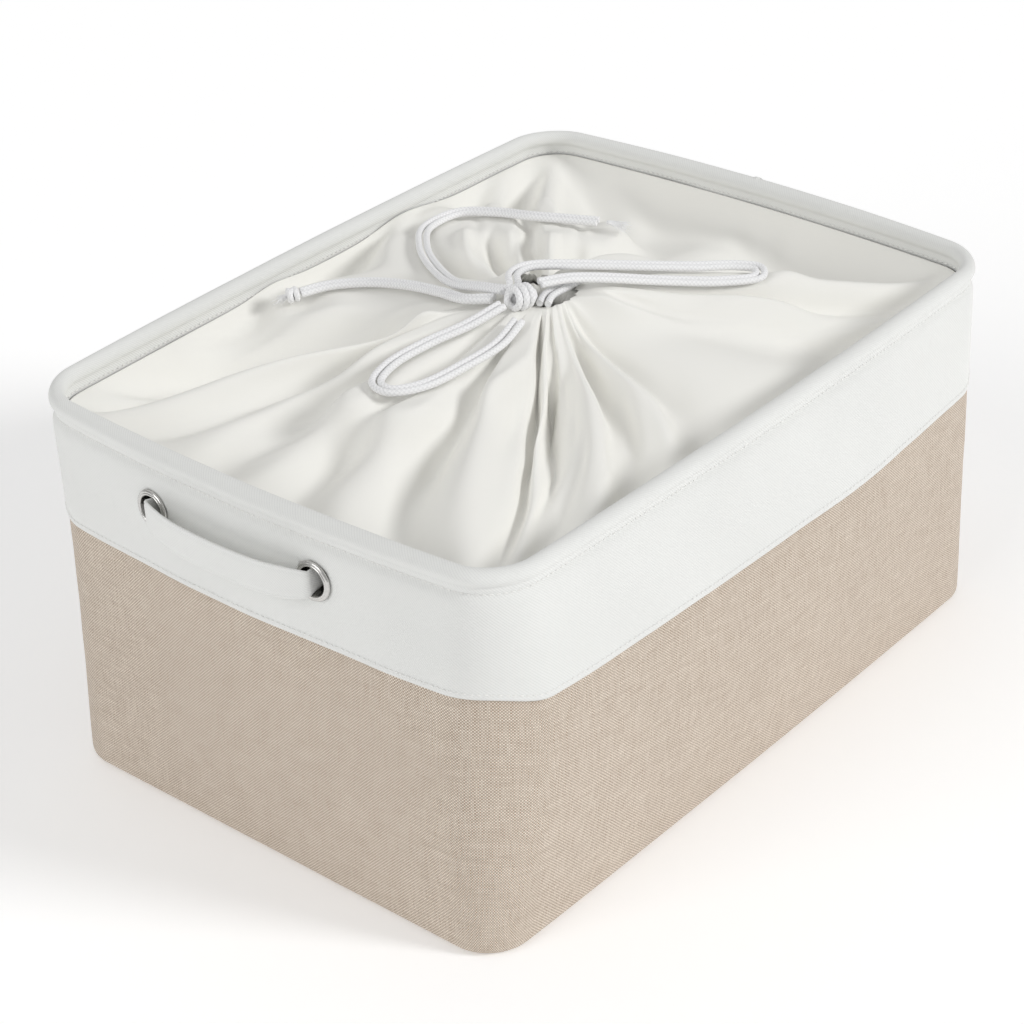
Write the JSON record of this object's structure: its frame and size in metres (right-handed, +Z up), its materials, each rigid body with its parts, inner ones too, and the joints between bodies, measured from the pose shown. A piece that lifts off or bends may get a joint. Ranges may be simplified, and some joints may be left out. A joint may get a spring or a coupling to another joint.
{
  "type": "fabric storage bin",
  "caption": "Rectangular two-tone fabric storage bin with a wire rim, a strap handle at each end and a gathered drawstring cover closed with a bow.",
  "frame": {"origin": "centre of the flat base, on the surface the bin stands on", "axes": "+Z up, +X along the long side towards the right-hand handle, +Y towards the back"},
  "size_m": [0.422, 0.311, 0.2243],
  "materials": {
    "linen_fabric": "cream and brown linen-look weave",
    "white_canvas": "off-white fine twill",
    "lining_cloth": "off-white plain weave",
    "cover_satin": "off-white satin",
    "cord_white": "white braided cord",
    "rim_steel": "drawn steel wire",
    "nickel": "polished nickel",
    "card_board": "plain stiff board"
  },
  "bodies": {
    "root": {"base_fabric": "linen_fabric", "body_fabric": "linen_fabric", "upper_band": "white_canvas", "rim_wire": "rim_steel", "board_front": "card_board", "board_back": "card_board", "board_left": "card_board", "board_right": "card_board", "lining_wall": "lining_cloth", "lining_floor": "lining_cloth", "eyelet_left_front": "nickel", "washer_left_front": "nickel", "strap_end_left_front": "white_canvas", "eyelet_left_back": "nickel", "washer_left_back": "nickel", "strap_end_left_back": "white_canvas", "eyelet_right_front": "nickel", "washer_right_front": "nickel", "strap_end_right_front": "white_canvas", "eyelet_right_back": "nickel", "washer_right_back": "nickel", "strap_end_right_back": "white_canvas", "drawstring_cover": "cover_satin", "casing_hem": "cover_satin", "loop_left_strand_a": "cord_white", "loop_left_strand_b": "cord_white", "loop_right_strand_a": "cord_white", "loop_right_strand_b": "cord_white", "tail_left_strand_a": "cord_white", "tail_left_strand_b": "cord_white", "tail_back_strand_a": "cord_white", "tail_back_strand_b": "cord_white", "lead_strand_a": "cord_white", "lead_strand_b": "cord_white", "bow_knot": "cord_white", "tail_left_knot": "cord_white", "tail_back_knot": "cord_white"},
    "handle_left": {"handle_strap_left": "white_canvas"},
    "handle_right": {"handle_strap_right": "white_canvas"},
    "base_insert": {"base_board": "card_board"}
  },
  "joints": [
    {"name": "handle_left_swing", "type": "hinge", "parent": "root", "child": "handle_left", "pos_m": [-0.2025, 0.004, 0.175], "axis": [0, 1, 0], "range_deg": [0, 90]},
    {"name": "handle_right_swing", "type": "hinge", "parent": "root", "child": "handle_right", "pos_m": [0.2025, -0.004, 0.175], "axis": [0, -1, 0], "range_deg": [0, 90]},
    {"name": "base_board_lift", "type": "slide", "parent": "root", "child": "base_insert", "axis": [0, 0, 1], "range_m": [0, 0.08]}
  ]
}
